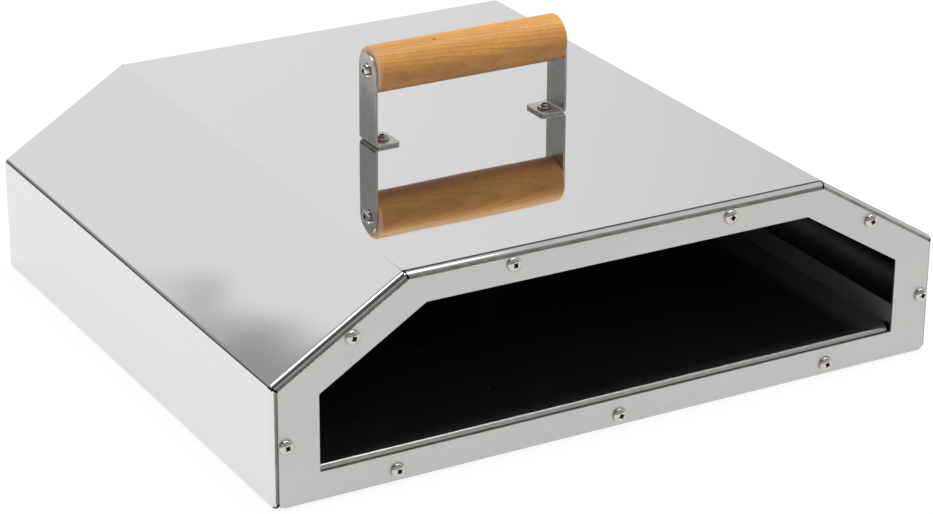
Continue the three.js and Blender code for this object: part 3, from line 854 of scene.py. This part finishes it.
def pan_screw_tree():
    """Pan-head screw, head up from z = 0: a flattened ball cut off at its seat, a plain shank,
    and a cross recess: two slots over a tapered core"""
    sizes = {"Head radius": head_radius, "Head height": head_height, "Rim height": 0.7 * mm,
             "Shank radius": 2 * mm, "Length": 9 * mm, "Slot length": 3.4 * mm, "Slot width": 0.7 * mm,
             "Slot depth": 2 * mm, "Core radius": 1.25 * mm, "Core tip radius": 0.5 * mm,
             "Core depth": 2.2 * mm}
    zone_size = 20 * mm
    tree, source, output = fastener_tree("pan_screw", sizes)
    tree.interface.new_socket("Recess painted shade", in_out="INPUT", socket_type="NodeSocketMaterial")
    dome = add_node(tree, "ShaderNodeMath", {
        0: (source, "Head height"), 1: (source, "Rim height")}, operation="SUBTRACT")
    ball_size = add_node(tree, "ShaderNodeCombineXYZ", {
        "X": (source, "Head radius"), "Y": (source, "Head radius"), "Z": (dome, "Value")})
    ball = add_node(tree, "GeometryNodeMeshUVSphere", {"Segments": 48, "Rings": 28, "Radius": 1.0})
    flat_ball = raised(tree, ball, (source, "Rim height"), Scale=(ball_size, "Vector"))
    zone = add_node(tree, "GeometryNodeMeshCube", {"Size": (zone_size, zone_size, zone_size)})
    head_zone = raised(tree, zone, zone_size / 2)
    head = add_node(
        tree, "GeometryNodeMeshBoolean",
        {"Mesh 2": [(flat_ball, "Geometry"), (head_zone, "Geometry")]},
        operation="INTERSECT", solver="EXACT")
    shank_drop = add_node(tree, "ShaderNodeMath", {0: (source, "Length"), 1: -0.5}, operation="MULTIPLY")
    shank_length = add_node(tree, "ShaderNodeMath", {
        0: (source, "Length"), 1: (source, "Rim height")}, operation="ADD")
    shank = add_node(tree, "GeometryNodeMeshCylinder", {
        "Vertices": 32, "Radius": (source, "Shank radius"), "Depth": (shank_length, "Value")})
    shank_down = raised(tree, shank, (shank_drop, "Value"))
    whole = add_node(tree, "GeometryNodeMeshBoolean", {
        "Mesh 2": [(head, "Mesh"), (shank_down, "Geometry")]}, operation="UNION", solver="EXACT")
    slot_size = add_node(tree, "ShaderNodeCombineXYZ", {
        "X": (source, "Slot length"), "Y": (source, "Slot width"), "Z": (source, "Slot depth")})
    recess_parts = []
    for turn in (0.0, math.pi / 2):
        slot = add_node(tree, "GeometryNodeMeshCube", {"Size": (slot_size, "Vector")})
        slot_up = raised(tree, slot, (source, "Head height"), Rotation=(0.0, 0.0, turn))
        recess_parts.append((slot_up, "Geometry"))
    core = add_node(tree, "GeometryNodeMeshCone", {
        "Vertices": 24, "Radius Top": (source, "Core radius"), "Radius Bottom": (source, "Core tip radius"),
        "Depth": (source, "Core depth")})
    core_foot = add_node(tree, "ShaderNodeMath", {
        0: (source, "Head height"), 1: (source, "Core depth")}, operation="SUBTRACT")
    core_up = raised(tree, core, (core_foot, "Value"))
    recess_parts.append((core_up, "Geometry"))
    cutters = add_node(
        tree, "GeometryNodeMeshBoolean", {"Mesh 2": recess_parts}, operation="UNION", solver="EXACT")
    # The recess cutters carry the painted recess shade, so the recess walls and bottom come out dark.
    dark_cutters = add_node(tree, "GeometryNodeSetMaterial", {
        "Geometry": (cutters, "Mesh"), "Material": (source, "Recess painted shade")})
    recess = add_node(
        tree, "GeometryNodeMeshBoolean",
        {"Mesh 1": (whole, "Mesh"), "Mesh 2": (dark_cutters, "Geometry")},
        operation="DIFFERENCE", solver="EXACT")
    place_fasteners(tree, source, output, (recess, "Mesh"), (source, "Recess painted shade"))
    return tree


def ring_tree(name, sides, sizes):
    """Nut or washer that hangs below its seat at z = 0: a plate with some number of sides and a bore"""
    tree, source, output = fastener_tree(name, sizes)
    body = add_node(tree, "GeometryNodeMeshCylinder", {
        "Vertices": sides, "Radius": (source, "Radius"), "Depth": (source, "Height")})
    bore_depth = add_node(tree, "ShaderNodeMath", {0: (source, "Height"), 1: 2.0}, operation="MULTIPLY")
    bore = add_node(tree, "GeometryNodeMeshCylinder", {
        "Vertices": 32, "Radius": (source, "Bore"), "Depth": (bore_depth, "Value")})
    ring = add_node(
        tree, "GeometryNodeMeshBoolean", {"Mesh 1": (body, "Mesh"), "Mesh 2": (bore, "Mesh")},
        operation="DIFFERENCE", solver="EXACT")
    drop = add_node(tree, "ShaderNodeMath", {0: (source, "Height"), 1: -0.5}, operation="MULTIPLY")
    lowered = raised(tree, ring, (drop, "Value"))
    place_fasteners(tree, source, output, (lowered, "Geometry"))
    return tree


def fasten(name, tree, finish, nodes, seats, sizes=None):
    """Set fasteners on their seats. A seat is a place, a direction and a turn about it."""
    mesh = bpy.data.meshes.new(name)
    mesh.from_pydata([place for place, aim, turn in seats], [], [])
    mesh.attributes.new("aim", "FLOAT_VECTOR", "POINT")
    mesh.attributes.new("turn", "FLOAT", "POINT")
    for index, (place, aim, turn) in enumerate(seats):
        mesh.attributes["aim"].data[index].vector = aim
        mesh.attributes["turn"].data[index].value = turn
    piece = new_object(name, mesh)
    maker = piece.modifiers.new(name, "NODES")
    maker.node_group = tree
    given = dict(sizes or {}, Finish=finish)
    for socket in tree.interface.items_tree:
        if socket.in_out == "INPUT" and socket.name in given:
            maker[socket.identifier] = given[socket.name]
    apply_modifiers(piece)
    for attribute in ("aim", "turn"):
        if attribute in piece.data.attributes:
            piece.data.attributes.remove(piece.data.attributes[attribute])
    smooth(piece, head_sharp_angle, head_edge)
    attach(piece, "root")
    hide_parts(*nodes)


nickel = new_material(bright_nickel)
driven = {"Recess painted shade": new_material(painted_recess_shade)}
zinc = new_material(zinc_plate)
pan_screw = pan_screw_tree()
hex_nut = ring_tree("hex_nut", 6, {"Radius": 4.04 * mm, "Height": 3.2 * mm, "Bore": 2.15 * mm})
washer = ring_tree("washer", 48, {"Radius": 4.5 * mm, "Height": 0.8 * mm, "Bore": 2.25 * mm})
places = rim_places()
recess_turns = [0.35, 1.1, 0.7, 0.2, 0.9, 1.3, 0.5, 0.05, 0.8]
foot_recess_turn = 0.6
foot_nut_turn = 0.3
grip_recess_turn = 0.7
for end, facing in (("front", -1), ("back", 1)):
    seat_y = facing * (half_depth + plate_thickness)
    screw_seats = []
    nut_seats = []
    for (name, (x, z)), turn in zip(places.items(), recess_turns):
        stack = 2 * sheet if name.startswith("bottom") else sheet
        screw_seats.append(((x, seat_y, z), (0, facing, 0), turn))
        nut_turn = 0.0 if name.startswith(("bottom", "roof")) else math.pi / 6
        nut_seats.append(((x, facing * (half_depth - stack), z), (0, facing, 0), nut_turn))
    fasten(end + "_rim_screws", pan_screw, nickel,
           [f"{end}_screw_{name}" for name in places], screw_seats, driven)
    fasten(end + "_rim_nuts", hex_nut, zinc,
           [f"{end}_nut_{name}" for name in places], nut_seats)

foot_seats = [
    ((x, y, body_height + strap_thickness), (0, 0, 1), foot_recess_turn) for x, y in foot_places]
fasten("foot_screws", pan_screw, nickel, ["foot_screw_right", "foot_screw_left"],
       foot_seats, driven)
washer_seats = [((x, y, body_height - sheet), (0, 0, 1), 0.0) for x, y in foot_places]
fasten("foot_washers", washer, zinc, ["foot_washer_right", "foot_washer_left"], washer_seats)
washer_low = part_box("foot_washer_right")[0].z
nut_seats = [((x, y, washer_low), (0, 0, 1), foot_nut_turn) for x, y in foot_places]
fasten("foot_nuts", hex_nut, zinc, ["foot_nut_right", "foot_nut_left"], nut_seats)
grip_seats = [
    ((side * handle_high.x, handle_y, grip_axis), (side, 0, 0), grip_recess_turn) for side in (1, -1)]
fasten("grip_screws", pan_screw, nickel, ["grip_screw_right", "grip_screw_left"],
       grip_seats, dict(driven, Length=18 * mm))

# Studio: a white table lit from below, a tall white backdrop, a strip light overhead along the grip, a
# small softbox high behind on the left, and dim reflectors left, right and in front. The dark rest of
# the room draws the dark lines on the rolled edges. The camera stands where the photo was taken from.


def lit_white_table(tree, _place):
    """Translucent white acrylic, lit evenly from below, so that it shows next to no shadow"""
    acrylic = add_node(
        tree, "ShaderNodeBsdfPrincipled",
        {"Base Color": linear("#707070"), "Roughness": 0.8, "Emission Color": linear("#FFFFFF"),
         "Emission Strength": 0.85})
    return acrylic, "BSDF"


table_reach = 6.0
table_gap = 0.05 * mm
table_bm = bmesh.new()
bmesh.ops.create_grid(table_bm, x_segments=1, y_segments=1, size=table_reach)
for vert in table_bm.verts:
    vert.co.z = -table_gap
table = new_piece("table", table_bm, new_material(lit_white_table))

world = bpy.data.worlds.new("studio")
bpy.context.scene.world = world
world.use_nodes = True
sky = world.node_tree
sky.nodes.clear()
sky_place = add_node(sky, "ShaderNodeTexCoord")


def soft_panel(azimuth, elevation, edges, softness, brightness):
    """A far panel, as seen from the oven: where it faces from, in degrees from straight behind and up
    from the table, its edges left, right, low and high as slopes from there, how softly each of them
    fades, and its brightness"""
    least_ahead = 0.001
    across = math.radians(azimuth)
    up = math.radians(elevation)
    facing = Vector((math.sin(across) * math.cos(up), math.cos(across) * math.cos(up), math.sin(up)))
    right = Vector((math.cos(across), -math.sin(across), 0))
    above = right.cross(facing)
    reach = []
    for axis in (facing, right, above):
        reach.append(add_node(
            sky, "ShaderNodeVectorMath", {0: (sky_place, "Generated"), 1: tuple(axis)},
            operation="DOT_PRODUCT"))
    ahead = add_node(sky, "ShaderNodeMath", {0: (reach[0], "Value"), 1: least_ahead}, operation="MAXIMUM")
    light = add_node(
        sky, "ShaderNodeMath", {0: (reach[0], "Value"), 1: least_ahead}, operation="GREATER_THAN")
    for number, (edge, fade_half) in enumerate(zip(edges, softness)):
        side = reach[1 + number // 2]
        slope = add_node(
            sky, "ShaderNodeMath", {0: (side, "Value"), 1: (ahead, "Value")}, operation="DIVIDE")
        inwards = -fade_half if number % 2 else fade_half
        fade = add_node(
            sky, "ShaderNodeMapRange",
            {"Value": (slope, "Value"), "From Min": edge - inwards, "From Max": edge + inwards},
            interpolation_type="SMOOTHSTEP")
        light = add_node(
            sky, "ShaderNodeMath", {0: (light, "Value"), 1: (fade, "Result")}, operation="MULTIPLY")
    return add_node(sky, "ShaderNodeMath", {0: (light, "Value"), 1: brightness}, operation="MULTIPLY")


room_light = 0.1
backdrop = soft_panel(-10, 0, (-0.058, 1.375, -0.5, 0.74), (0.02, 0.725, 0.03, 0.03), 0.82)
strip_light = soft_panel(0, 90, (-0.36, 0.5, -0.15, 0.15), (0.04, 0.04, 0.03, 0.03), 9.5)
softbox = soft_panel(-42, 54, (-0.2, 0.2, -0.1, 0.1), (0.03, 0.03, 0.03, 0.03), 3.0)
left_reflector = soft_panel(-45, 0, (-2.75, 0.615, 0.3, 1.2), (0.3, 0.03, 0.1, 0.1), 0.3)
right_reflector = soft_panel(92, 30, (-0.65, 0.65, -0.6, 0.75), (0.1, 0.1, 0.1, 0.1), 0.55)
front_reflector = soft_panel(180, 15, (-1.45, 1.9, -0.12, 0.7), (0.1, 0.1, 0.1, 0.1), 0.35)
total = add_node(sky, "ShaderNodeMath", {0: (backdrop, "Value"), 1: room_light}, operation="ADD")
for panel in (strip_light, softbox, left_reflector, right_reflector, front_reflector):
    total = add_node(sky, "ShaderNodeMath", {0: (total, "Value"), 1: (panel, "Value")}, operation="ADD")
shine = add_node(sky, "ShaderNodeBackground", {"Color": linear("#FFFFFF"), "Strength": (total, "Value")})
add_node(sky, "ShaderNodeOutputWorld", {"Surface": (shine, "Background")})

camera_data = bpy.data.cameras.new("camera")
camera_data.sensor_width = 36
camera_data.lens = 117.83
camera = new_object("camera", camera_data)
camera.location = (-0.77581, -1.38103, 0.70595)
camera.rotation_euler = [math.radians(angle) for angle in (66.9057, -0.3405, -29.4262)]
bpy.context.scene.camera = camera
bpy.context.scene.view_settings.view_transform = "Standard"
